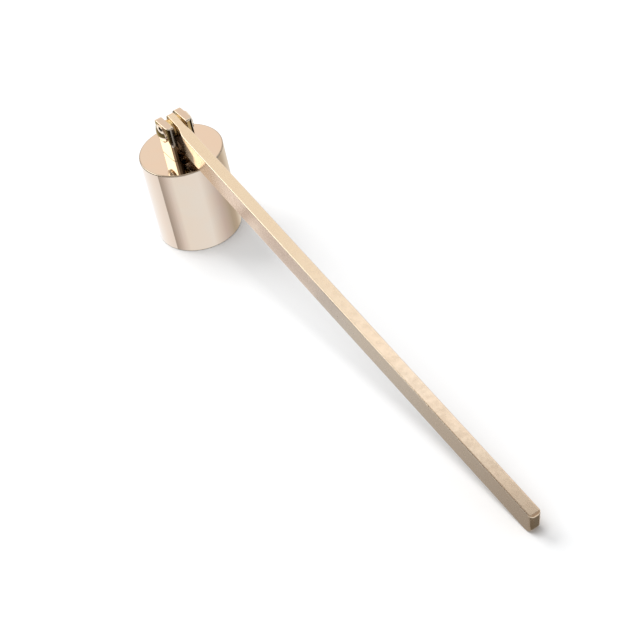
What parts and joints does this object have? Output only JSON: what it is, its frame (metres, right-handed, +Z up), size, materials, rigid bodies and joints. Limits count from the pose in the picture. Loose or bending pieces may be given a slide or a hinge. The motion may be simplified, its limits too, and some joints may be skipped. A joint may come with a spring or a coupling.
{
  "type": "candle snuffer",
  "caption": "Candle snuffer: a small round bell with a closed flat top, and a long flat bar that swings on a forked pivot above it.",
  "frame": {"origin": "centre of the bell's mouth, on the bell's axis and on the surface that the snuffer stands on", "axes": "+Z up along the bell's axis, +X from the bell towards the bar's far end, +Y along the pivot"},
  "size_m": [0.2127, 0.03, 0.0482],
  "materials": {
    "polished_plating": "mirror-polished champagne gold plating on steel",
    "satin_plating": "satin champagne gold plating on steel",
    "washer_brass": "plain brass",
    "steel": "plain steel"
  },
  "bodies": {
    "bell": {"bell_shell": "polished_plating", "yoke": "polished_plating", "yoke_screw": "steel", "lock_washer": "steel", "pivot_barrel": "polished_plating", "pivot_screw": "polished_plating", "washer_outer_left": "washer_brass", "washer_inner_left": "washer_brass", "washer_right": "washer_brass"},
    "handle": {"handle_bar": "satin_plating"}
  },
  "joints": [
    {"name": "handle_pivot", "type": "hinge", "parent": "bell", "child": "handle", "pos_m": [0, 0, 0.044], "axis": [0, -1, 0], "range_deg": [-5, 211]}
  ]
}
